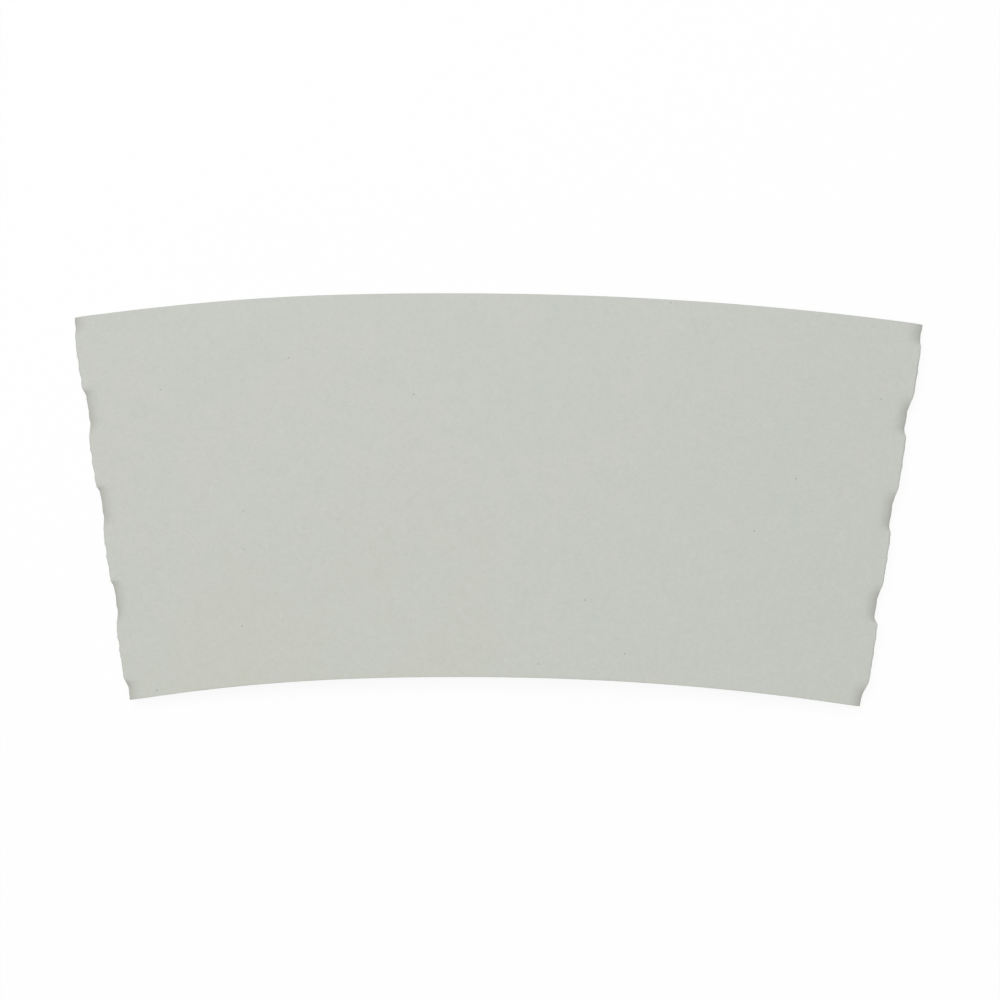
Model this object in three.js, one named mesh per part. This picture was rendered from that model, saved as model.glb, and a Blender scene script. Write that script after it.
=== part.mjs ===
// A flat-packed paperboard sleeve for a takeaway coffee cup, lying on its back panel.
// One die-cut blank is folded in two along perforated creases, and its ends are glued into a
// lap at the middle of the back. The folds spring open a little, so both panels are bowed and a
// shallow hollow runs through the sleeve, where the cup goes in.
// Units are millimetres. +Y points to the wide rim, +Z up through the front panel.
// The origin is at the middle of the underside's bounding rectangle.

import * as THREE from "three";

// Outline of the front and the back panel, between the crease lines.
const TOP_WIDTH = 134.1; // straight across the wide rim, from crease to crease
const TAPER_ANGLE = 8.54; // degrees between a crease and the middle line
const CREASE_LENGTH = 60.9;
const TOP_RIM_RADIUS = 544;
const BOTTOM_RIM_RADIUS = 380;

// The board, and how far the two panels stand apart.
const BOARD_THICKNESS = 0.9;
const FOLD_GAP = 0.2; // between the two inner faces where a fold begins
const FOLD_INNER_REACH = 1.2; // how far the fold's inside reaches beyond its beginning
const FRONT_BOW = 2.8; // rise of the front panel's middle above its creases
const BACK_BOW = 3.0; // drop of the back panel's middle below its creases
const LAP_WIDTH = 14; // overlap of the blank's two glued ends
const EDGE_LEAN = 0.15; // how far each glued end's cut edge leans across its thickness

// The perforation of each crease: slits through the board, with uncut bridges between them.
const SLIT_LENGTH = 10.1;
const BRIDGE_LENGTH = 5.1;
const END_BRIDGE_LENGTH = 2; // the least that stays uncut at either rim
const SLIT_EASE = 1.1; // length over which a slit's lips rise out of the fold

// How finely the curved faces are divided.
const FRONT_STRIPS = 15; // odd, so that the middle strip lies level
const BACK_FLAP_STRIPS = 7; // on each side of the lap
const QUARTER_FOLD_STEPS = 6;
const EASE_STEPS = 4;
const ARC_SAMPLES = 200;

const BOARD_COLOUR = 0xc7cbc3;
const BOARD_ROUGHNESS = 0.85;

const FRONT = 1;
const BACK = -1;
const LEFT = -1;
const RIGHT = 1;

const taper = THREE.MathUtils.degToRad(TAPER_ANGLE);

// Plan distances are measured from the apex, where the two crease lines would meet.
const topCorner = TOP_WIDTH / 2 / Math.sin(taper);
const bottomCorner = topCorner - CREASE_LENGTH;

// The outer face of a fold is half an ellipse: this high above its middle, and this long.
const foldHalfHeight = BOARD_THICKNESS + FOLD_GAP / 2;
const foldReach = BOARD_THICKNESS + FOLD_INNER_REACH;

// The glue flap lies inside the lap, one board thickness above the outer flap.
const glueFlapBow = BACK_BOW - BOARD_THICKNESS;

// A rim is an arc through both of its corners, about a point on the middle line.
function rimArc(cornerDistance, radius) {
  const halfWidth = cornerDistance * Math.sin(taper);
  const centreY = cornerDistance * Math.cos(taper) - Math.sqrt(radius ** 2 - halfWidth ** 2);
  return { centreY, radius };
}

const topRim = rimArc(topCorner, TOP_RIM_RADIUS);
const bottomRim = rimArc(bottomCorner, BOTTOM_RIM_RADIUS);

// Distance from a plan point, in a unit direction, to where the line leaves a rim's circle.
function distanceToRim(point, direction, rim) {
  const fromCentre = new THREE.Vector2(point.x, point.y - rim.centreY);
  const across = fromCentre.dot(direction);
  return -across + Math.sqrt(across ** 2 - fromCentre.lengthSq() + rim.radius ** 2);
}

// Share of its full bow that a panel has at an angle from the middle line: 1 there, 0 on a crease.
function bowShare(angle) {
  return 1 - (angle / taper) ** 2;
}

// Length of the fold's outer face from where it begins to a turn in radians.
function foldFaceLength(turn) {
  let length = 0;
  for (let i = 0; i < ARC_SAMPLES; i += 1) {
    const angle = (turn * (i + 0.5)) / ARC_SAMPLES;
    const slope = Math.hypot(foldReach * Math.cos(angle), foldHalfHeight * Math.sin(angle));
    length += (slope * turn) / ARC_SAMPLES;
  }
  return length;
}

// A fold begins this far in from its crease line, so that the board keeps its length round it.
const foldStart = foldFaceLength(Math.PI / 2);

// Start and end of each slit, as distances from the apex along a crease.
function slitSpans() {
  const pitch = SLIT_LENGTH + BRIDGE_LENGTH;
  const room = CREASE_LENGTH - 2 * END_BRIDGE_LENGTH;
  const count = Math.max(0, Math.floor((room + BRIDGE_LENGTH) / pitch));
  const first = bottomCorner + (CREASE_LENGTH - count * pitch + BRIDGE_LENGTH) / 2;
  return Array.from({ length: count }, (_, i) => [first + i * pitch, first + i * pitch + SLIT_LENGTH]);
}

// Points along a crease, between the rims, with how far the fold is closed at each: 1 on a
// bridge and at a slit's ends, 0 where the slit's lips lie flat.
function creaseStations() {
  const shares = Array.from({ length: EASE_STEPS + 1 }, (_, i) => i / EASE_STEPS);
  const closedAt = (share) => 1 - THREE.MathUtils.smoothstep(share, 0, 1);
  return slitSpans().flatMap(([start, end]) => {
    const ease = Math.min(SLIT_EASE, (end - start) / 3);
    const opening = shares.map((share) => [start + ease * share, closedAt(share)]);
    const closing = shares.map((share) => [end - ease * share, closedAt(share)]).reverse();
    return [...opening, ...closing].map(([distance, closed]) => ({ distance, closed }));
  });
}

const stations = creaseStations();

const positions = [];
const triangles = [];

function addPoint(x, y, z) {
  positions.push(x, y, z);
  return positions.length / 3 - 1;
}

// A line of points from the bottom rim to the top rim. Each keeps its share of that way.
function line(points) {
  return points.map(([share, x, y, z]) => ({ share, index: addPoint(x, y, z) }));
}

function addTriangle(a, b, c) {
  if (a !== b && b !== c && c !== a) triangles.push(a, b, c);
}

// Covers the strip between two lines, whose points needn't be level with each other.
function stitch(left, right) {
  let i = 0;
  let j = 0;
  while (i < left.length - 1 || j < right.length - 1) {
    const leftNext = i < left.length - 1 ? left[i].share + left[i + 1].share : Infinity;
    const rightNext = j < right.length - 1 ? right[j].share + right[j + 1].share : Infinity;
    if (leftNext <= rightNext) {
      addTriangle(left[i].index, right[j].index, left[i + 1].index);
      i += 1;
    } else {
      addTriangle(left[i].index, right[j].index, right[j + 1].index);
      j += 1;
    }
  }
}

// Straight line on a panel along a ray from the apex. Its height is the same at both rims.
function panelLine(angle, height) {
  const apex = new THREE.Vector2(0, 0);
  const direction = new THREE.Vector2(Math.sin(angle), Math.cos(angle));
  const ends = [bottomRim, topRim].map((rim) => distanceToRim(apex, direction, rim));
  return line(ends.map((end, share) => [share, direction.x * end, direction.y * end, height]));
}

// The board's two faces at an angle from the middle line. Where the two flaps are glued, each
// face has its own flap's bow.
function panelRib(face, angle, outerBow, innerBow) {
  const outerHeight = foldHalfHeight + outerBow * bowShare(angle);
  const innerHeight = foldHalfHeight - BOARD_THICKNESS + innerBow * bowShare(angle);
  return {
    outer: panelLine(angle, face * outerHeight),
    inner: panelLine(angle, face * innerHeight),
  };
}

// Line round a fold, at a turn from 0, where it begins, to a quarter circle, on the crease.
// Depth is 0 on the outer face and the board's thickness on the inner one.
function foldLine(side, face, bow, turn, depth) {
  const along = new THREE.Vector2(side * Math.sin(taper), Math.cos(taper));
  const inward = new THREE.Vector2(-side * Math.cos(taper), Math.sin(taper));
  const flatInset = foldStart - foldFaceLength(turn);
  const bentInset = foldStart - (foldReach - depth) * Math.sin(turn);
  const flatStart = inward.clone().multiplyScalar(flatInset);
  const bottom = distanceToRim(flatStart, along, bottomRim);
  const top = distanceToRim(flatStart, along, topRim);
  const between = turn === 0 ? [] : stations;
  const all = [{ distance: bottom, closed: 1 }, ...between, { distance: top, closed: 1 }];
  return line(
    all.map(({ distance, closed }) => {
      const inset = THREE.MathUtils.lerp(flatInset, bentInset, closed);
      const x = along.x * distance + inward.x * inset;
      const y = along.y * distance + inward.y * inset;
      const flatHeight = foldHalfHeight - depth + bow * bowShare(Math.atan2(x, y));
      const bentHeight = flatHeight * Math.cos(turn);
      const height = THREE.MathUtils.lerp(flatHeight, bentHeight, closed);
      return [(distance - bottom) / (top - bottom), x, y, face * height];
    }),
  );
}

function foldRib(side, face, bow, turn) {
  return {
    outer: foldLine(side, face, bow, turn, 0),
    inner: foldLine(side, face, bow, turn, BOARD_THICKNESS),
  };
}

// The other panel's line on the crease shares its points with this panel's, except inside a slit.
function joinOnBridges(kept, other) {
  const closedAt = [1, ...stations.map(({ closed }) => closed), 1];
  return other.map((point, i) => (closedAt[i] === 1 ? kept[i] : point));
}

// Closes the board's cut edge on both lips of every slit.
function closeSlits(rib, nextRib) {
  for (let i = 0; i < rib.outer.length - 1; i += 1) {
    const shared = rib.outer[i] === nextRib.outer[i] && rib.outer[i + 1] === nextRib.outer[i + 1];
    if (shared) continue;
    stitch(rib.outer.slice(i, i + 2), rib.inner.slice(i, i + 2));
    stitch(nextRib.inner.slice(i, i + 2), nextRib.outer.slice(i, i + 2));
  }
}

// Ribs round one fold, from one panel to the other. The two on the crease share a place.
function foldRibs(side, fromFace, fromBow, toBow) {
  const turns = Array.from(
    { length: QUARTER_FOLD_STEPS + 1 },
    (_, i) => (i / QUARTER_FOLD_STEPS) * (Math.PI / 2),
  );
  const before = turns.map((turn) => foldRib(side, fromFace, fromBow, turn));
  const after = turns.map((turn) => foldRib(side, -fromFace, toBow, turn)).reverse();
  const last = before[before.length - 1];
  after[0] = {
    outer: joinOnBridges(last.outer, after[0].outer),
    inner: joinOnBridges(last.inner, after[0].inner),
  };
  closeSlits(last, after[0]);
  return { before, after };
}

// Angles between two limits, without the limits themselves.
function anglesBetween(from, to, strips) {
  return Array.from({ length: strips - 1 }, (_, i) => from + ((to - from) * (i + 1)) / strips);
}

// Ribs of the back, from right to left. The outer flap comes from the right and ends on the
// left of the lap; the glue flap comes from the left and ends on the right of it, inside.
function backRibs(edgeAngle) {
  const halfLap = LAP_WIDTH / (topCorner + bottomCorner);
  const lapEnd = halfLap + EDGE_LEAN / bottomCorner;
  const outerFlap = anglesBetween(edgeAngle, lapEnd, BACK_FLAP_STRIPS);
  const glueFlap = anglesBetween(-lapEnd, -edgeAngle, BACK_FLAP_STRIPS);
  return [
    ...outerFlap.map((angle) => panelRib(BACK, angle, BACK_BOW, BACK_BOW)),
    panelRib(BACK, lapEnd, BACK_BOW, BACK_BOW),
    panelRib(BACK, halfLap, BACK_BOW, glueFlapBow),
    panelRib(BACK, -halfLap, BACK_BOW, glueFlapBow),
    panelRib(BACK, -lapEnd, glueFlapBow, glueFlapBow),
    ...glueFlap.map((angle) => panelRib(BACK, angle, glueFlapBow, glueFlapBow)),
  ];
}

// Joins each rib to the next, on the outer face, on the inner face and at both rims.
function joinRibs(ribs) {
  const start = (points) => points[0].index;
  const end = (points) => points[points.length - 1].index;
  ribs.slice(1).forEach((next, i) => {
    const rib = ribs[i];
    stitch(rib.outer, next.outer);
    stitch(next.inner, rib.inner);
    addTriangle(end(rib.outer), end(next.outer), end(rib.inner));
    addTriangle(end(next.outer), end(next.inner), end(rib.inner));
    addTriangle(start(rib.outer), start(rib.inner), start(next.outer));
    addTriangle(start(next.outer), start(rib.inner), start(next.inner));
  });
}

function sleeveGeometry() {
  // The panels' own ribs lie inside the line where the folds begin, which is nearest the middle
  // at the narrow rim.
  const edgeAngle = taper - Math.asin(foldStart / bottomCorner);
  const rightFold = foldRibs(RIGHT, FRONT, FRONT_BOW, BACK_BOW);
  const leftFold = foldRibs(LEFT, BACK, glueFlapBow, FRONT_BOW);
  // Front and back meet on the creases, where they share the points of the bridges.
  const frontRibs = anglesBetween(-edgeAngle, edgeAngle, FRONT_STRIPS).map((angle) =>
    panelRib(FRONT, angle, FRONT_BOW, FRONT_BOW),
  );
  joinRibs([...leftFold.after, ...frontRibs, ...rightFold.before]);
  joinRibs([...rightFold.after, ...backRibs(edgeAngle), ...leftFold.before]);

  const geometry = new THREE.BufferGeometry();
  geometry.setAttribute("position", new THREE.Float32BufferAttribute(positions, 3));
  geometry.setIndex(triangles);
  geometry.computeVertexNormals();
  geometry.computeBoundingBox();
  return geometry;
}

const geometry = sleeveGeometry();
const { min, max } = geometry.boundingBox;

const board = new THREE.MeshStandardMaterial({
  color: BOARD_COLOUR,
  roughness: BOARD_ROUGHNESS,
  metalness: 0,
});

const sleeve = new THREE.Mesh(geometry, board);
sleeve.name = "cup_sleeve";
sleeve.position.set(-(min.x + max.x) / 2, -(min.y + max.y) / 2, -min.z);

const group = new THREE.Group();
group.add(sleeve);

export default group;
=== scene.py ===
"""A flat-packed paperboard cup sleeve, seen from straight above on a plain white table.

The sleeve is one blank of board: a long strip from the end of the glue flap, round the left
fold, over the front, round the right fold, to the end of the outer flap. Sizes are in
millimetres until the mesh is made. Distances up the board are measured from the apex, where
the lines of the two creases would meet.
"""

import math
from collections import namedtuple

import bmesh
import bpy
import numpy as np
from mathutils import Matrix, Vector


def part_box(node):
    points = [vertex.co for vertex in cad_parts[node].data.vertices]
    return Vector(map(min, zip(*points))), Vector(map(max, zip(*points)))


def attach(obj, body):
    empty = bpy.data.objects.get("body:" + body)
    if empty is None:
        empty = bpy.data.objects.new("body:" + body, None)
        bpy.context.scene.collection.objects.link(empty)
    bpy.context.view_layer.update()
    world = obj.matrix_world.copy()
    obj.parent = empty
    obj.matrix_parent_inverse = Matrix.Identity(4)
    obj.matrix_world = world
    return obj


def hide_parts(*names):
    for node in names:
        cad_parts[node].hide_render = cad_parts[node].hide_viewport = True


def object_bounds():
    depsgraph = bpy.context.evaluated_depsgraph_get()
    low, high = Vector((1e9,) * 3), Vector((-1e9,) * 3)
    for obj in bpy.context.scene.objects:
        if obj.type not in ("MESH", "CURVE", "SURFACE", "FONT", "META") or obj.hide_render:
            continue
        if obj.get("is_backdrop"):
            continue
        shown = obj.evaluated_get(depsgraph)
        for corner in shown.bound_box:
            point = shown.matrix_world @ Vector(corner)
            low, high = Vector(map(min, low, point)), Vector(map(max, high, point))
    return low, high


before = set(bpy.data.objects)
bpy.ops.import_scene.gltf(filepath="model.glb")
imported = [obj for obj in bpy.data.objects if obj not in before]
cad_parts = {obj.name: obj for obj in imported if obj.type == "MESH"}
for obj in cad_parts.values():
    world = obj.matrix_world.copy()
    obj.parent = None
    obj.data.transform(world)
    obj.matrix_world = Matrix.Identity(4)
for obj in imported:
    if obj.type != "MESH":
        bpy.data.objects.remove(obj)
cad_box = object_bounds()

MM = 0.001

FRONT, BACK = 1, -1
LEFT, RIGHT = -1, 1

# The sleeve's own sizes.
TOP_WIDTH = 134.1
TAPER = math.radians(8.54)
CREASE_LENGTH = 60.9
TOP_RIM_RADIUS = 544
BOTTOM_RIM_RADIUS = 380
BOARD = 0.9
FOLD_GAP = 0.2
FOLD_INNER_REACH = 1.2
BACK_BOW = 3.0
LAP_WIDTH = 14
EDGE_LEAN = 0.15
GLUE_LINE = 0.02

# The slits of each fold, from start to end, measured from the wide rim.
LEFT_SLITS = ((0.9, 12.5), (16.6, 27.9), (31.5, 43.0), (46.7, 58.8))
RIGHT_SLITS = ((2.3, 14.2), (16.7, 29.0), (32.0, 44.2), (46.5, 59.8))

# Lengths over which a slit's lips rise out of the fold, at its narrow-rim end and its other one.
LEFT_EASES = (1.2, 2.6)
RIGHT_EASES = (3.1, 1.3)

# How much further in, or out, each uncut bridge is pressed, from the wide rim to the narrow one.
LEFT_BRIDGE_PRESS = (0.0, 0.1, 0.12, 0.18, 0.14)
RIGHT_BRIDGE_PRESS = (-0.05, 0.2, 0.2, 0.27, 0.36)

# How pinched a bridge's section is. At 1 it would be half an ellipse.
FOLD_CRUSH = 1.35

# How far each slit's lips stand out past the crease line, and how much less at a slit's ends.
LEFT_LIP_PROUD = (0.0, 0.02, -0.13, -0.03)
RIGHT_LIP_PROUD = (0.05, -0.06, -0.1, 0.1)
LIP_BELLY = 0.12

# How far the lips' cut edges are rounded, and how far the next points keep from them.
LEFT_LIP_ROUND = 0.12
RIGHT_LIP_ROUND = 0.26
LIP_CLEAR = 0.36

# How far each fold's cuts, and its bridges, wander from a smooth line.
LEFT_LIP_RAGGED = 0.1
RIGHT_LIP_RAGGED = 0.05
BRIDGE_RAGGED = 0.05
RAGGED_LENGTH = 3.0
RAGGED_SEED = 7

# How many waves make up a wandering line, and the share of their sum that it takes.
RIPPLE_WAVES = 5
RIPPLE_SHARE = 0.5

# How far the cut edges at the rims are rounded.
RIM_ROUND = 0.09

# How uneven the panels are, and the distances over which that grows from a fold and the lap.
UNEVENNESS = 0.05
FOLD_FADE = 12
LAP_FADE = 15

# The unevenness is two wandering lines: a seed, the shares of X and Y, and a wavelength.
PANEL_LINES = ((21, 1.0, 0.6, 52.0), (22, -0.35, 1.0, 43.0))

# Left of the middle, the sleeve lies a little further towards the wide rim.
SHIFT = 0.37
SHIFT_MIDDLE = -38.0
SHIFT_REACH = 26.0

# How far from a crease the painted shade reaches, and past which distance there is none.
CREASE_SHADE_REACH = 1.3
CREASE_SHADE_LIMIT = 3 * CREASE_SHADE_REACH

# How finely the strip is divided.
ROW_STEP = 0.3
PANEL_COLUMNS = 44
FLAP_COLUMNS = 22
LAP_COLUMNS = 5
FOLD_COLUMNS = 12
TURN_STEPS = 400
ROUND_STEPS = 3
SHARP_ANGLE = math.radians(50)

# How far rows keep from a slit's end, and columns from a fold or a glued end.
ROW_CLEAR = ROW_STEP / 3
COLUMN_CLEAR = 0.4

# How closely a row's share has to match that of a slit's end.
SHARE_SLACK = 1e-6

# The table and the light, in metres and watts.
TABLE_REACH = 6.0
TABLE_COLOUR = (0.98, 0.98, 0.98)
TABLE_ROUGHNESS = 0.9
TABLE_WHITE_SHARE = 0.9
WORLD_STRENGTH = 0.3
LAMP_PLACE = (-0.1, 0.18, 1.0)
LAMP_SIZE = 0.5
LAMP_POWER = 7.45

# The camera, with the width of its picture at the folds' level.
LENS = 100.0
SENSOR = 36.0
PICTURE_WIDTH = 157.5 * MM
CAMERA_ROLL = math.radians(0.42)
CAMERA_PLACE = (0.46 * MM, -0.05 * MM)

node_low, node_high = (np.array(corner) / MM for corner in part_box("cup_sleeve"))

top_corner = TOP_WIDTH / 2 / math.sin(TAPER)
bottom_corner = top_corner - CREASE_LENGTH
row_length = CREASE_LENGTH - 2 * RIM_ROUND
half_height = BOARD + FOLD_GAP / 2
fold_reach = BOARD + FOLD_INNER_REACH
half_lap = LAP_WIDTH / (top_corner + bottom_corner)
lap_lean = EDGE_LEAN / bottom_corner


def bow_share(angle):
    """Share of its bow that a panel has at an angle: 1 on the middle line, 0 on a crease."""
    return 1 - (angle / TAPER) ** 2


# The lap is level, because it is two boards thick. The folds' middle plane lies above it.
lap_share = bow_share(half_lap)
fold_level = node_low[2] + half_height + BACK_BOW * lap_share
front_bow = node_high[2] - fold_level - half_height
glue_bow = BACK_BOW - (BOARD + GLUE_LINE) / lap_share


def rim_arc(corner, radius):
    """A rim through a corner: where its centre is on the middle line, and its radius."""
    half_width = corner * math.sin(TAPER)
    return corner * math.cos(TAPER) - math.sqrt(radius**2 - half_width**2), radius


top_rim = rim_arc(top_corner, TOP_RIM_RADIUS)
bottom_rim = rim_arc(bottom_corner, BOTTOM_RIM_RADIUS)
apex_y = node_high[1] - sum(top_rim)


def to_rim(x, y, along, rim):
    """Distance from a plan point, in a unit direction, to a rim."""
    centre, radius = rim
    across = x * along[0] + (y - centre) * along[1]
    return -across + math.sqrt(across**2 - x**2 - (y - centre) ** 2 + radius**2)


# Turn round the outer face of a fold, from where it begins to the crease, by face length.
turns = np.linspace(0, math.pi / 2, TURN_STEPS)
profile = np.stack([fold_reach * np.sin(turns) ** FOLD_CRUSH, half_height * np.cos(turns) ** FOLD_CRUSH])
lengths = np.concatenate([[0], np.cumsum(np.hypot(*np.diff(profile)))])
fold_start = lengths[-1]


def turn_at(inset):
    """Turn at a flat distance in from the crease line."""
    return np.interp(fold_start - inset, lengths, turns)


def smooth(share):
    """A share kept between 0 and 1, and eased at both."""
    share = np.clip(share, 0, 1)
    return share * share * (3 - 2 * share)


def ripple(seed, position, wavelength):
    """A smooth wandering line between about -1 and 1, the same on each run."""
    rng = np.random.default_rng(seed)
    phases = rng.uniform(0, 2 * math.pi, RIPPLE_WAVES)
    # Each wave is 1.4 times as short and as low as the one before.
    pitches = 2.0 ** (np.arange(RIPPLE_WAVES) / 2)
    waves = [
        np.sin(2 * math.pi * position * pitch / wavelength + phase) / pitch
        for pitch, phase in zip(pitches, phases)
    ]
    return sum(waves) * RIPPLE_SHARE


class Fold:
    """One perforated fold: where it is slit, and how its bridges and lips lie."""

    def __init__(self, side, slits, eases, press, proud, lip_round, lip_ragged):
        self.side = side
        self.slits = [(top_corner - far, top_corner - near) for near, far in slits]
        self.narrow_ease, self.wide_ease = eases
        self.press = press
        self.proud = proud
        self.lip_round = lip_round
        self.lip_ragged = lip_ragged
        self.along = np.array([side * math.sin(TAPER), math.cos(TAPER)])
        self.inward = np.array([-side * math.cos(TAPER), math.sin(TAPER)])
        ends = [top_corner, *(end for slit in self.slits for end in reversed(slit)), bottom_corner]
        self.bridges = [(near + far) / 2 for near, far in zip(ends[::2], ends[1::2])]

    def opened(self, distance):
        """How far a slit's lips lie flat: 0 on a bridge, 1 along a slit."""
        for start, end in self.slits:
            if start < distance < end:
                rise = min((distance - start) / self.narrow_ease, (end - distance) / self.wide_ease)
                return float(smooth(rise))
        return 0.0

    def ragged(self, distance):
        """Wandering of the cut along the crease. What one lip keeps, the other one lacks."""
        return float(ripple(RAGGED_SEED + self.side, distance, RAGGED_LENGTH))

    def lip_shift(self, distance, face):
        """How far the lip's cut edge lies past the crease line."""
        for (start, end), proud in zip(self.slits, self.proud):
            if start < distance < end:
                share = (2 * distance - start - end) / (end - start)
                return proud - LIP_BELLY * share**2 + face * self.lip_ragged * self.ragged(distance)
        return 0.0

    def bridge_press(self, distance):
        """How much further in the crease is pressed, by the nearest bridges."""
        press = np.interp(-distance, [-bridge for bridge in self.bridges], self.press)
        return float(press) + BRIDGE_RAGGED * self.ragged(distance)

    def point(self, face, bow, inset, share, trim, depth, clear=0.0):
        """A point of the board at a flat inset from the crease, a share of the way up the fold.

        Trim is the distance kept from both rims, depth is measured from the outer face, and clear
        is the distance kept from the crease where the board is slit.
        """
        turn = float(turn_at(inset))
        flat = self.inward * inset
        bottom = to_rim(*flat, self.along, bottom_rim) + trim
        top = to_rim(*flat, self.along, top_rim) - trim
        distance = bottom + (top - bottom) * share
        opened = self.opened(distance)
        fade = 1 - inset / fold_start
        flat_inset = inset + (clear - self.lip_shift(distance, face)) * fade
        bent_inset = fold_start - (fold_reach - depth) * math.sin(turn) ** FOLD_CRUSH
        bent_inset += self.bridge_press(distance) * fade
        lateral = flat_inset * opened + bent_inset * (1 - opened)
        x, y = self.along * distance + self.inward * lateral
        flat_height = half_height - depth + bow * bow_share(math.atan2(x, y))
        height = flat_height * (opened + math.cos(turn) ** FOLD_CRUSH * (1 - opened))
        return x, y, face * height


left_fold = Fold(
    side=LEFT,
    slits=LEFT_SLITS,
    eases=LEFT_EASES,
    press=LEFT_BRIDGE_PRESS,
    proud=LEFT_LIP_PROUD,
    lip_round=LEFT_LIP_ROUND,
    lip_ragged=LEFT_LIP_RAGGED,
)
right_fold = Fold(
    side=RIGHT,
    slits=RIGHT_SLITS,
    eases=RIGHT_EASES,
    press=RIGHT_BRIDGE_PRESS,
    proud=RIGHT_LIP_PROUD,
    lip_round=RIGHT_LIP_ROUND,
    lip_ragged=RIGHT_LIP_RAGGED,
)


def panel_point(face, bow, angle, share, trim, depth):
    """A point of a panel on a ray from the apex. The back is level across the lap."""
    along = (math.sin(angle), math.cos(angle))
    bottom = to_rim(0, 0, along, bottom_rim) + trim
    top = to_rim(0, 0, along, top_rim) - trim
    distance = bottom + (top - bottom) * share
    level = bow_share(max(abs(angle), half_lap) if face == BACK else angle)
    return along[0] * distance, along[1] * distance, face * (half_height - depth + bow * level)


def lean_angle(angle, lean, depth):
    """A glued end's cut edge leans, so its angle depends on the depth."""
    return angle + lean * (depth / BOARD - 0.5)


def panel_column(face, bow, angle, lean=0.0):
    """A column of a panel, as a function that gives a point for a share, a trim and a depth."""

    def point(share, trim, depth):
        return panel_point(face, bow, lean_angle(angle, lean, depth), share, trim, depth)

    return point


def fold_column(fold, face, bow, inset, clear=0.0):
    """A column of a fold, as the same kind of function."""

    def point(share, trim, depth):
        return fold.point(face, bow, inset, share, trim, depth, clear)

    return point


# The column on a crease, where one panel's half of the fold ends and the other's begins.
Crease = namedtuple("Crease", "fold first_face first_bow second_bow")


def round_off(radius):
    """Distances from an edge, with depths, down a cut edge with both its corners rounded."""
    angles = np.linspace(0, math.pi / 2, ROUND_STEPS + 1)[1:]
    upper = [(radius * (1 - math.sin(angle)), radius * (1 - math.cos(angle))) for angle in angles]
    lower = [(gap, BOARD - sink) for gap, sink in reversed(upper)]
    return upper + lower


def row_share(distance):
    """Share of the way up the crease, between the rounded rims."""
    return (distance - bottom_corner - RIM_ROUND) / row_length


def row_distance(share):
    """Distance up the crease, for a share of the way between the rounded rims."""
    return bottom_corner + RIM_ROUND + share * row_length


def row_shares():
    """Rows up the strip: even ones, but for a row at each end of every slit."""
    ends = [end for fold in (left_fold, right_fold) for slit in fold.slits for end in slit]
    rows = list(ends)
    count = round(row_length / ROW_STEP)
    for distance in np.linspace(bottom_corner + RIM_ROUND, top_corner - RIM_ROUND, count + 1):
        if all(abs(distance - end) > ROW_CLEAR for end in ends):
            rows.append(distance)
    return [float(row_share(distance)) for distance in sorted(rows)]


class Strip:
    """Collects the mesh: points, faces, and which faces are the board's cut edges."""

    def __init__(self):
        self.points = []
        self.faces = []
        self.cut = []

    def add(self, point):
        """Adds a point and gives its index."""
        self.points.append(point)
        return len(self.points) - 1

    def face(self, corners, cut=False):
        """Adds a face, without repeated corners, unless fewer than three are left."""
        kept = [corner for i, corner in enumerate(corners) if corner != corners[i - 1]]
        if len(set(kept)) >= 3:
            self.faces.append(kept)
            self.cut.append(cut)

    def band(self, left, right, cut=False):
        """Adds the faces between two rows of points."""
        for i in range(len(left) - 1):
            self.face((left[i], right[i], right[i + 1], left[i + 1]), cut)


def make_columns():
    """Columns round the strip, from the glue flap's end to the outer flap's end."""
    edge = TAPER - math.asin(fold_start / bottom_corner) - COLUMN_CLEAR / bottom_corner
    near_lap = half_lap - COLUMN_CLEAR / bottom_corner
    # The columns crowd towards the crease, and the last ones are left out.
    insets = fold_start * (1 - np.sin(np.linspace(0, math.pi / 2, FOLD_COLUMNS + 2)))[:-2]

    def half_fold(fold, face, bow):
        return [fold_column(fold, face, bow, inset, LIP_CLEAR) for inset in insets]

    def panel(face, bow, start, end, count):
        return [panel_column(face, bow, angle) for angle in np.linspace(start, end, count)]

    return [
        panel_column(BACK, glue_bow, half_lap, -lap_lean),
        *panel(BACK, glue_bow, near_lap, -half_lap, LAP_COLUMNS),
        *panel(BACK, glue_bow, -half_lap, -edge, FLAP_COLUMNS)[1:],
        *half_fold(left_fold, BACK, glue_bow),
        Crease(left_fold, BACK, glue_bow, front_bow),
        *reversed(half_fold(left_fold, FRONT, front_bow)),
        *panel(FRONT, front_bow, -edge, edge, PANEL_COLUMNS),
        *half_fold(right_fold, FRONT, front_bow),
        Crease(right_fold, FRONT, front_bow, BACK_BOW),
        *reversed(half_fold(right_fold, BACK, BACK_BOW)),
        *panel(BACK, BACK_BOW, edge, half_lap, FLAP_COLUMNS),
        *panel(BACK, BACK_BOW, half_lap, -near_lap, LAP_COLUMNS)[1:],
        panel_column(BACK, BACK_BOW, -half_lap, -lap_lean),
    ]


def add_column(strip, column, shares):
    """Indices of a column's outer and inner points, and those round its two rims."""
    edge = round_off(RIM_ROUND)
    return {
        "outer": [strip.add(column(share, RIM_ROUND, 0.0)) for share in shares],
        "inner": [strip.add(column(share, RIM_ROUND, BOARD)) for share in shares],
        "bottom": [strip.add(column(0.0, gap, depth)) for gap, depth in edge],
        "top": [strip.add(column(1.0, gap, depth)) for gap, depth in edge],
    }


def lip_row(strip, fold, face, bow, share):
    """Indices of a lip's outer and inner points in a row, then those down its cut edge."""
    rounded = fold.opened(row_distance(share))
    places = [(fold.lip_round, 0.0), (fold.lip_round, BOARD), *round_off(fold.lip_round)]
    return [
        strip.add(fold.point(face, bow, gap * rounded, share, RIM_ROUND, depth))
        for gap, depth in places
    ]


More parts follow.
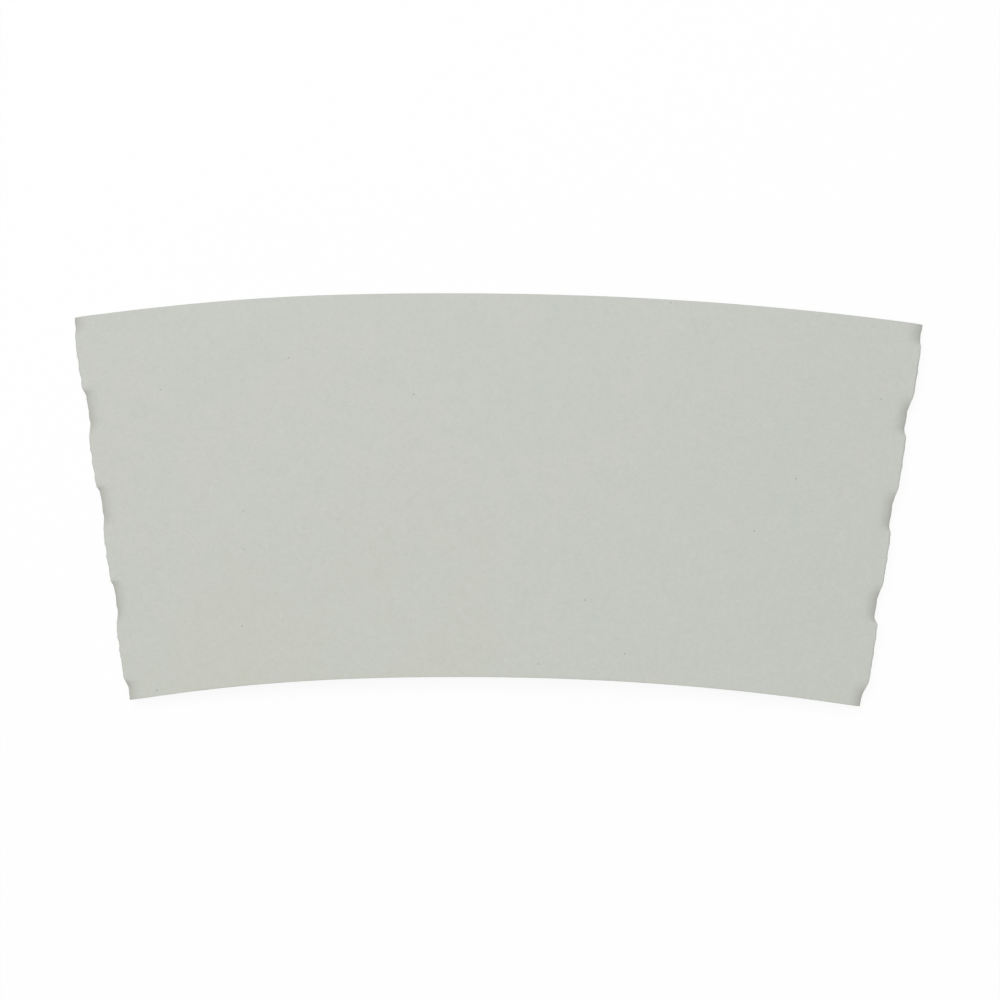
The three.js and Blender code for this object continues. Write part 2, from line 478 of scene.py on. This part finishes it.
def add_lip(strip, fold, face, bow, half, rows, shares):
    """A slit's lip on one half of a fold, with its cut edge. At both ends it meets the bridges."""
    lip = []
    for i in rows:
        if i in (rows[0], rows[-1]):
            wall = [half["outer"][i]] * ROUND_STEPS + [half["inner"][i]] * ROUND_STEPS
        else:
            half["outer"][i], half["inner"][i], *wall = lip_row(strip, fold, face, bow, shares[i])
        lip.append([half["outer"][i], *wall, half["inner"][i]])
    for lower_row, upper_row in zip(lip, lip[1:]):
        strip.band(lower_row, upper_row, cut=True)


def add_crease(strip, crease, shares):
    """The crease's column, once for each half of the fold. They share points on the bridges."""
    fold, face, first_bow, second_bow = crease
    base = add_column(strip, fold_column(fold, face, first_bow, 0.0), shares)
    first, second = (
        {**base, "outer": list(base["outer"]), "inner": list(base["inner"])} for _ in range(2)
    )
    for start, end in fold.slits:
        low = row_share(start) - SHARE_SLACK
        high = row_share(end) + SHARE_SLACK
        rows = [i for i, share in enumerate(shares) if low <= share <= high]
        add_lip(strip, fold, face, first_bow, first, rows, shares)
        add_lip(strip, fold, -face, second_bow, second, rows, shares)
    return first, second


def join(strip, left, right):
    """Faces between two neighbouring columns: outside, inside and round both rims."""
    strip.band(left["outer"], right["outer"])
    strip.band(right["inner"], left["inner"])
    for row, rim in ((0, "bottom"), (-1, "top")):
        left_edge = [left["outer"][row], *left[rim], left["inner"][row]]
        right_edge = [right["outer"][row], *right[rim], right["inner"][row]]
        strip.band(left_edge, right_edge, cut=True)


def close_end(strip, column):
    """The cut edge at a glued end of the strip."""
    strip.band(column["outer"], column["inner"], cut=True)
    for row, rim in ((0, "bottom"), (-1, "top")):
        strip.face([column["outer"][row], *column[rim], column["inner"][row]], cut=True)


def build_strip():
    """The whole strip as one mesh, in runs of columns that a crease parts at its slits."""
    shares = row_shares()
    strip = Strip()
    runs = [[]]
    for column in make_columns():
        if isinstance(column, Crease):
            first, second = add_crease(strip, column, shares)
            runs[-1].append(first)
            runs.append([second])
        else:
            runs[-1].append(add_column(strip, column, shares))
    for run in runs:
        for left, right in zip(run, run[1:]):
            join(strip, left, right)
    close_end(strip, runs[0][0])
    close_end(strip, runs[-1][-1])
    return strip


def uneven(points):
    """Slow rises and falls of the panels, none at the folds or the lap, and the slight shift."""
    x, y, z = points.T
    waves = sum(ripple(seed, x * on_x + y * on_y, length) for seed, on_x, on_y, length in PANEL_LINES)
    angle = np.arctan2(x, y)
    off_fold = smooth(((TAPER - np.abs(angle)) * bottom_corner - fold_start) / FOLD_FADE)
    off_lap = np.where(z > 0, 1.0, smooth((np.abs(angle) - half_lap) * bottom_corner / LAP_FADE))
    moved = points.copy()
    moved[:, 2] -= UNEVENNESS * (1 - waves) * off_fold * off_lap * np.sign(z)
    moved[:, 1] += SHIFT * np.exp(-(((x - SHIFT_MIDDLE) / SHIFT_REACH) ** 2))
    return moved


def painted_crease_shade(points):
    """How much painted shade each point takes: most on a bridge's crease, none where a slit lies open.
    """
    shares = np.zeros(len(points))
    for fold in (left_fold, right_fold):
        distances = points[:, :2] @ fold.along
        insets = points[:, :2] @ fold.inward
        for i in np.flatnonzero(np.abs(insets) < CREASE_SHADE_LIMIT):
            bent = 1 - fold.opened(distances[i])
            shares[i] = bent * math.exp(-((insets[i] / CREASE_SHADE_REACH) ** 2))
    return shares


def make_sleeve(face_material, edge_material):
    """The sleeve's mesh, in metres, with the cut edges in a material of their own."""
    strip = build_strip()
    plan = np.array(strip.points)
    points = uneven(plan)
    points += np.array([0, apex_y, fold_level])
    mesh = bpy.data.meshes.new("sleeve_board")
    mesh.from_pydata([tuple(point) for point in points * MM], [], strip.faces)
    mesh.materials.append(face_material)
    mesh.materials.append(edge_material)
    mesh.polygons.foreach_set("material_index", [int(cut) for cut in strip.cut])
    # The painted shade of the bridges' creases is kept on the points.
    mesh.attributes.new("painted_crease_shade", "FLOAT", "POINT").data.foreach_set("value", painted_crease_shade(plan))
    shell = bmesh.new()
    shell.from_mesh(mesh)
    bmesh.ops.recalc_face_normals(shell, faces=shell.faces)
    shell.to_mesh(mesh)
    shell.free()
    mesh.shade_smooth()
    mesh.set_sharp_from_angle(angle=SHARP_ANGLE)
    sleeve = bpy.data.objects.new("sleeve_board", mesh)
    bpy.context.collection.objects.link(sleeve)
    return sleeve


def linear(share):
    """Linear light of a display value from 0 to 1, by the sRGB standard."""
    if share <= 0.04045:
        return share / 12.92
    return ((share + 0.055) / 1.055) ** 2.4


def srgb(red, green, blue):
    """Linear colour of an 8-bit display colour."""
    return tuple(linear(channel / 255) for channel in (red, green, blue))


# A noise has a scale, a detail and a roughness. A layer shows a range of one in its own shade.
Layer = namedtuple("Layer", "noise low high strength shade")

# The face's colours near the wide rim and near the narrow one, painted shade at the right, and where
# they fade.
WIDE_RIM_COLOUR = srgb(201, 203, 197)
NARROW_RIM_COLOUR = srgb(199, 201, 188)
RIM_FADE = (30 * MM, -30 * MM)
# Painted shade: the face grows darker towards the right, away from the lamp.
RIGHT_SHADE_COLOUR = srgb(195, 202, 193)
RIGHT_SHADE_FADE = (-10 * MM, 60 * MM)
RIGHT_SHADE_STRENGTH = 0.5

# Broad clouding, the sheet's formation, fine mottling and tiny darker pits.
FACE_LAYERS = (
    Layer((70, 4, 0.6), 0.4, 0.7, 0.8, srgb(195, 202, 195)),
    Layer((420, 3, 0.6), 0.35, 0.65, 0.5, srgb(203, 203, 196)),
    Layer((1500, 3, 0.75), 0.3, 0.7, 0.6, srgb(207, 209, 203)),
    Layer((2300, 2, 0.7), 0.58, 0.75, 0.25, srgb(184, 188, 180)),
)

# The direction of each layer of fibres, and its shade.
FIBRES = (
    (math.radians(12), srgb(184, 187, 178)),
    (math.radians(-38), srgb(214, 215, 209)),
    (math.radians(67), srgb(187, 190, 182)),
    (math.radians(104), srgb(213, 214, 207)),
)
FIBRE_NOISE = (4200, 1, 0.55)
FIBRE_STRETCH = (9, 1, 1)
FIBRE_BEND = 0.5
FIBRE_RANGE = (0.58, 0.72)
FIBRE_STRENGTH = 0.17

# Grey specks: the scale of their cells, their size in a cell, its hard part, and how many show.
SPECK_SCALE = 150
SPECK_SIZE = 0.024
SPECK_CORE = 0.4
SPECK_SHARE = 0.08
SPECK_STRENGTH = 0.5
SPECK_COLOUR = srgb(112, 114, 110)

# The darker colour of the painted shade on the bridges' creases.
CREASE_SHADE_COLOUR = srgb(176, 175, 166)
CREASE_SHADE_STRENGTH = 0.5

# The face's gloss and the fine tooth of its surface.
FACE_GLOSS = 0.3
GLOSS_NOISE = (260, 1, 0.55)
GLOSS_RANGE = (0.3, 0.7)
FACE_ROUGHNESS = (0.78, 0.9)
FACE_BUMP_STRENGTH = 0.3
FACE_BUMP_HEIGHT = 0.06 * MM
FINE_TOOTH = (1900, 2, 0.65)
BROAD_TOOTH = (220, 1, 0.55)
BROAD_TOOTH_SHARE = 1.2

# The cut edge: its plies are flat sheets, so their noise is drawn out along the board.
PLY_NOISE = (700, 4, 0.55)
PLY_STRETCH = (6.7, 6.7, 0.17)
PLY_RANGE = (0.35, 0.65)
PALE_PLY_COLOUR = srgb(208, 210, 204)
DARK_PLY_COLOUR = srgb(190, 193, 185)
EDGE_FUZZ = Layer((2600, 5, 0.55), 0.45, 0.7, 0.4, srgb(214, 215, 208))
EDGE_GLOSS = 0.15
EDGE_ROUGHNESS = 0.95
EDGE_BUMP_STRENGTH = 0.6
EDGE_BUMP_HEIGHT = 0.08 * MM
EDGE_TOOTH = (2200, 6, 0.55)
PLY_BUMP_SHARE = 0.5


class Nodes:
    """Short forms for building a material's nodes."""

    def __init__(self, name):
        self.material = bpy.data.materials.new(name)
        self.material.use_nodes = True
        self.tree = self.material.node_tree
        self.shader = self.tree.nodes["Principled BSDF"]
        self.place = self.node("ShaderNodeTexCoord").outputs["Object"]

    def node(self, kind, inputs=None, **settings):
        """A new node, with its settings and the values of its unlinked inputs."""
        made = self.tree.nodes.new(kind)
        for key, value in settings.items():
            setattr(made, key, value)
        for key, value in (inputs or {}).items():
            made.inputs[key].default_value = value
        return made

    def link(self, output, node_input):
        """Feeds an output to another node's input."""
        self.tree.links.new(output, node_input)

    def noise(self, scale, detail, rough, stretch=(1, 1, 1), turn=0.0, bend=0.0):
        """Noise, stretched along an axis that is turned about Z, and bent out of it."""
        axes = {"Rotation": (0, 0, turn), "Scale": stretch}
        mapping = self.node("ShaderNodeMapping", axes, vector_type="TEXTURE")
        self.link(self.place, mapping.inputs["Vector"])
        grain = {"Scale": scale, "Detail": detail, "Roughness": rough, "Distortion": bend}
        noise = self.node("ShaderNodeTexNoise", grain)
        self.link(mapping.outputs["Vector"], noise.inputs["Vector"])
        return noise.outputs["Fac"]

    def ramp(self, value, low, high, to_low=0.0, to_high=1.0):
        """A value's range from low to high, spread over another range and kept inside it."""
        ends = {"From Min": low, "From Max": high, "To Min": to_low, "To Max": to_high}
        remap = self.node("ShaderNodeMapRange", ends)
        self.link(value, remap.inputs["Value"])
        return remap.outputs["Result"]

    def mix(self, share, first, second):
        """A share of the second colour over the first. Each is a fixed colour or an output."""
        mix = self.node("ShaderNodeMix", data_type="RGBA")
        self.link(share, mix.inputs["Factor"])
        # The colour sockets share their names with the node's other kinds, so they go by number.
        for socket, colour in ((mix.inputs[6], first), (mix.inputs[7], second)):
            if isinstance(colour, tuple):
                socket.default_value = (*colour, 1.0)
            else:
                self.link(colour, socket)
        return mix.outputs[2]

    def layer(self, base, layer):
        """A layer of noise over a base colour."""
        share = self.ramp(self.noise(*layer.noise), layer.low, layer.high, to_high=layer.strength)
        return self.mix(share, base, layer.shade)

    def compute(self, operation, *values):
        """A calculation with up to three values, each a number or an output."""
        made = self.node("ShaderNodeMath", operation=operation)
        for socket, value in zip(made.inputs, values):
            if isinstance(value, (int, float)):
                socket.default_value = value
            else:
                self.link(value, socket)
        return made.outputs["Value"]

    def bump(self, height, strength, distance):
        """Adds a bump to the shader: its height, its strength and the distance it stands for."""
        bump = self.node("ShaderNodeBump", {"Strength": strength, "Distance": distance})
        self.link(height, bump.inputs["Height"])
        self.link(bump.outputs["Normal"], self.shader.inputs["Normal"])


def speck_mask(nodes):
    """1 in small round specks, in a share of the cells of a Voronoi pattern."""
    cells = nodes.node(
        "ShaderNodeTexVoronoi", {"Scale": SPECK_SCALE}, feature="F1", voronoi_dimensions="2D"
    )
    nodes.link(nodes.place, cells.inputs["Vector"])
    spot = nodes.ramp(cells.outputs["Distance"], SPECK_SIZE, SPECK_SIZE * SPECK_CORE)
    pick = nodes.node("ShaderNodeSeparateColor")
    nodes.link(cells.outputs["Color"], pick.inputs["Color"])
    chosen = nodes.compute("LESS_THAN", pick.outputs["Red"], SPECK_SHARE)
    return nodes.compute("MULTIPLY", spot, chosen)


def board_face_material():
    """Smooth uncoated board: faint clouding and mottling, a few grey specks, and painted shade at the
    right and on the bends.
    """
    nodes = Nodes("board_face")
    place = nodes.node("ShaderNodeSeparateXYZ")
    nodes.link(nodes.place, place.inputs["Vector"])
    downward = nodes.ramp(place.outputs["Y"], *RIM_FADE)
    base = nodes.mix(downward, WIDE_RIM_COLOUR, NARROW_RIM_COLOUR)
    # Painted shade, darker towards the right, away from the lamp.
    right_shade = nodes.ramp(place.outputs["X"], *RIGHT_SHADE_FADE, to_high=RIGHT_SHADE_STRENGTH)
    base = nodes.mix(right_shade, base, RIGHT_SHADE_COLOUR)
    for layer in FACE_LAYERS:
        base = nodes.layer(base, layer)
    for turn, shade in FIBRES:
        strands = nodes.noise(*FIBRE_NOISE, stretch=FIBRE_STRETCH, turn=turn, bend=FIBRE_BEND)
        base = nodes.mix(nodes.ramp(strands, *FIBRE_RANGE, to_high=FIBRE_STRENGTH), base, shade)
    specks = nodes.ramp(speck_mask(nodes), 0.0, 1.0, to_high=SPECK_STRENGTH)
    base = nodes.mix(specks, base, SPECK_COLOUR)
    # Painted shade along the bridges' creases, read from the points.
    shade_attribute = nodes.node("ShaderNodeAttribute", attribute_name="painted_crease_shade")
    crease_shade = nodes.ramp(shade_attribute.outputs["Fac"], 0.0, 1.0, to_high=CREASE_SHADE_STRENGTH)
    base = nodes.mix(crease_shade, base, CREASE_SHADE_COLOUR)
    nodes.link(base, nodes.shader.inputs["Base Color"])
    roughness = nodes.ramp(nodes.noise(*GLOSS_NOISE), *GLOSS_RANGE, *FACE_ROUGHNESS)
    nodes.link(roughness, nodes.shader.inputs["Roughness"])
    nodes.shader.inputs["Specular IOR Level"].default_value = FACE_GLOSS
    fine = nodes.noise(*FINE_TOOTH)
    broad = nodes.noise(*BROAD_TOOTH)
    tooth = nodes.compute("MULTIPLY_ADD", broad, BROAD_TOOTH_SHARE, fine)
    nodes.bump(tooth, FACE_BUMP_STRENGTH, FACE_BUMP_HEIGHT)
    return nodes.material


def board_edge_material():
    """The board's cut edge: rougher, with its plies showing as fine lines."""
    nodes = Nodes("board_edge")
    plies = nodes.ramp(nodes.noise(*PLY_NOISE, stretch=PLY_STRETCH), *PLY_RANGE)
    base = nodes.mix(plies, PALE_PLY_COLOUR, DARK_PLY_COLOUR)
    base = nodes.layer(base, EDGE_FUZZ)
    nodes.link(base, nodes.shader.inputs["Base Color"])
    nodes.shader.inputs["Roughness"].default_value = EDGE_ROUGHNESS
    nodes.shader.inputs["Specular IOR Level"].default_value = EDGE_GLOSS
    fuzz = nodes.noise(*EDGE_TOOTH)
    tooth = nodes.compute("MULTIPLY_ADD", plies, PLY_BUMP_SHARE, fuzz)
    nodes.bump(tooth, EDGE_BUMP_STRENGTH, EDGE_BUMP_HEIGHT)
    return nodes.material


def white_to_camera(nodes, shader, share):
    """Mixes plain white into what the camera sees directly or in a reflection."""
    path = nodes.node("ShaderNodeLightPath")
    seen = nodes.compute("MAXIMUM", path.outputs["Is Camera Ray"], path.outputs["Is Glossy Ray"])
    white = nodes.node("ShaderNodeEmission", {"Strength": 1.0})
    mixed = nodes.node("ShaderNodeMixShader")
    nodes.link(nodes.compute("MULTIPLY", seen, share), mixed.inputs[0])
    nodes.link(shader, mixed.inputs[1])
    nodes.link(white.outputs[0], mixed.inputs[2])
    return mixed.outputs[0]


def make_floor():
    """A wide white table, on which the sleeve's shadow hardly shows."""
    reach = TABLE_REACH
    corners = [(-reach, -reach, 0), (reach, -reach, 0), (reach, reach, 0), (-reach, reach, 0)]
    mesh = bpy.data.meshes.new("table")
    mesh.from_pydata(corners, [], [(0, 1, 2, 3)])
    nodes = Nodes("table_white")
    nodes.shader.inputs["Base Color"].default_value = (*TABLE_COLOUR, 1.0)
    nodes.shader.inputs["Roughness"].default_value = TABLE_ROUGHNESS
    nodes.shader.inputs["Specular IOR Level"].default_value = 0.0
    surface = white_to_camera(nodes, nodes.shader.outputs[0], TABLE_WHITE_SHARE)
    nodes.link(surface, nodes.tree.nodes["Material Output"].inputs["Surface"])
    mesh.materials.append(nodes.material)
    floor = bpy.data.objects.new("table", mesh)
    bpy.context.collection.objects.link(floor)
    floor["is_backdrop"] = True


def make_world():
    """Even white light from all round, which the camera itself sees as plain white."""
    world = bpy.data.worlds.new("studio")
    world.use_nodes = True
    bpy.context.scene.world = world
    tree = world.node_tree
    light = tree.nodes["Background"]
    white = tree.nodes.new("ShaderNodeBackground")
    for background, strength in ((light, WORLD_STRENGTH), (white, 1.0)):
        background.inputs["Color"].default_value = (1.0, 1.0, 1.0, 1.0)
        background.inputs["Strength"].default_value = strength
    path = tree.nodes.new("ShaderNodeLightPath")
    mixed = tree.nodes.new("ShaderNodeMixShader")
    tree.links.new(path.outputs["Is Camera Ray"], mixed.inputs[0])
    tree.links.new(light.outputs[0], mixed.inputs[1])
    tree.links.new(white.outputs[0], mixed.inputs[2])
    tree.links.new(mixed.outputs[0], tree.nodes["World Output"].inputs["Surface"])


def make_lamp():
    """A square lamp high above, off to the wide rim and the left, which faces the sleeve."""
    lamp = bpy.data.lights.new("softbox", "AREA")
    lamp.shape = "SQUARE"
    lamp.size = LAMP_SIZE
    lamp.energy = LAMP_POWER
    softbox = bpy.data.objects.new("softbox", lamp)
    softbox.location = LAMP_PLACE
    softbox.rotation_euler = (-Vector(LAMP_PLACE)).to_track_quat("-Z", "Y").to_euler()
    bpy.context.collection.objects.link(softbox)


def make_camera():
    """A camera straight above. At the folds' level its picture has the width given for it."""
    data = bpy.data.cameras.new("camera")
    data.lens = LENS
    data.sensor_width = SENSOR
    camera = bpy.data.objects.new("camera", data)
    distance = PICTURE_WIDTH * LENS / SENSOR
    camera.location = (*CAMERA_PLACE, distance + fold_level * MM)
    camera.rotation_euler = (0, 0, CAMERA_ROLL)
    bpy.context.collection.objects.link(camera)
    bpy.context.scene.camera = camera


make_camera()
sleeve = make_sleeve(board_face_material(), board_edge_material())
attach(sleeve, "root")
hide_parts("cup_sleeve")

make_floor()
make_world()
make_lamp()
bpy.context.scene.view_settings.view_transform = "Standard"

boxes = {"cad": cad_box, "visual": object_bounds()}
{key: [list(map(float, corner)) for corner in box] for key, box in boxes.items()}
